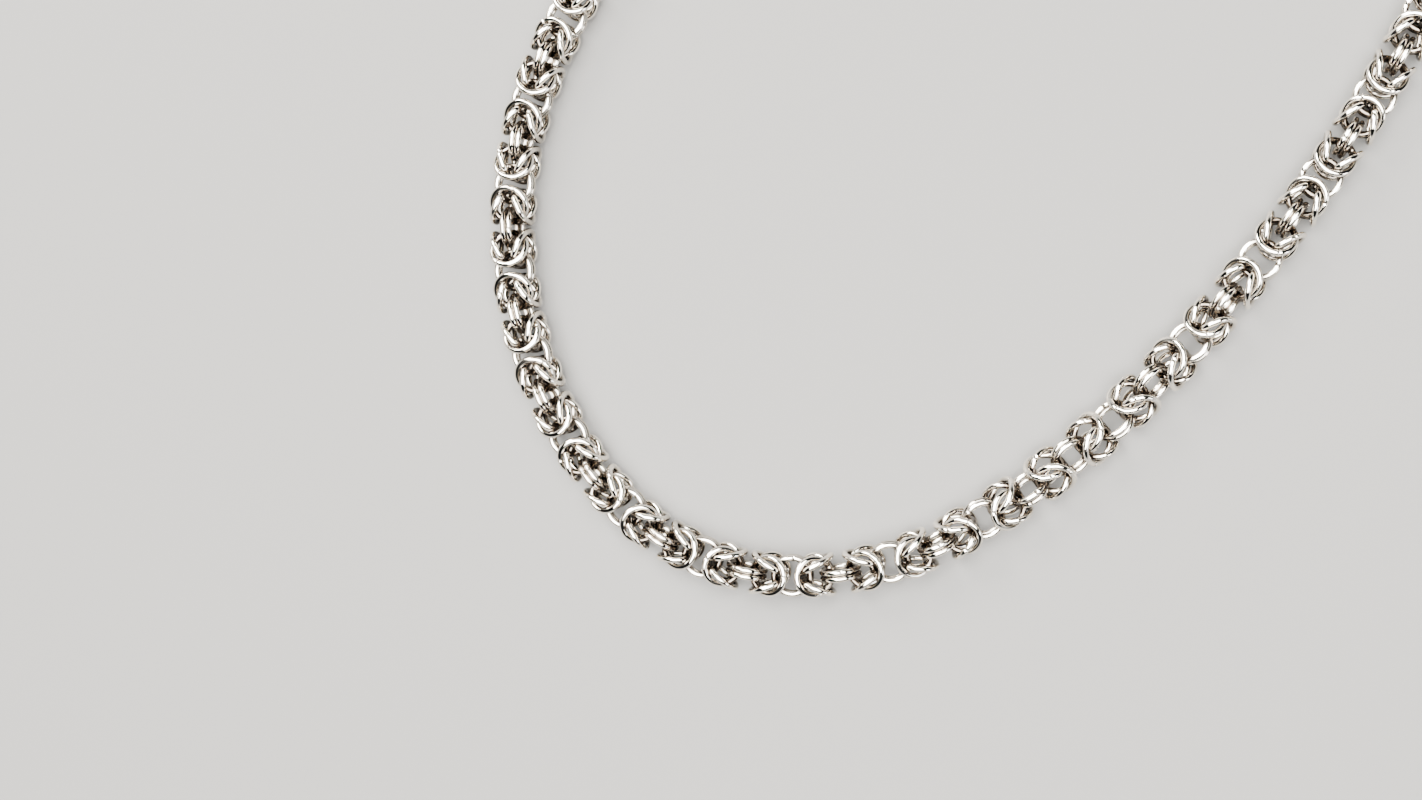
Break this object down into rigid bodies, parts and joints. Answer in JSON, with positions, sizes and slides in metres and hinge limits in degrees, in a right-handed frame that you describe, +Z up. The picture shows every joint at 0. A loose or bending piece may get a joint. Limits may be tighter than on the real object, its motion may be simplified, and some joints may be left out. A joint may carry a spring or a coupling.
{
  "type": "Byzantine weave neck chain",
  "caption": "Silver neck chain of doubled round wire rings in the Byzantine weave, lying in an open loop on a surface and closed with a plain barrel clasp.",
  "frame": {"origin": "on the table under the middle of the loop's bounding box", "axes": "+Z up from the table that the chain lies on; -Y towards the front curve, +Y towards the clasp; +X to the right in the view from above"},
  "size_m": [0.1384, 0.1554, 0.007],
  "materials": {
    "silver": "polished sterling silver wire, lightly handled, with a trace of tarnish where the rings cross"
  },
  "bodies": {
    "root": {"links_01": "silver", "links_02": "silver", "links_03": "silver", "links_04": "silver", "links_05": "silver", "links_06": "silver", "links_07": "silver", "links_08": "silver", "links_09": "silver", "links_10": "silver", "links_11": "silver", "links_12": "silver", "links_13": "silver", "links_14": "silver", "links_15": "silver", "links_16": "silver", "links_17": "silver", "links_18": "silver", "links_19": "silver", "links_20": "silver", "links_21": "silver", "links_22": "silver", "links_23": "silver", "links_24": "silver", "links_25": "silver", "links_26": "silver", "links_27": "silver", "links_28": "silver", "links_29": "silver", "links_30": "silver", "links_31": "silver", "links_32": "silver", "end_links": "silver", "clasp": "silver"}
  },
  "joints": []
}
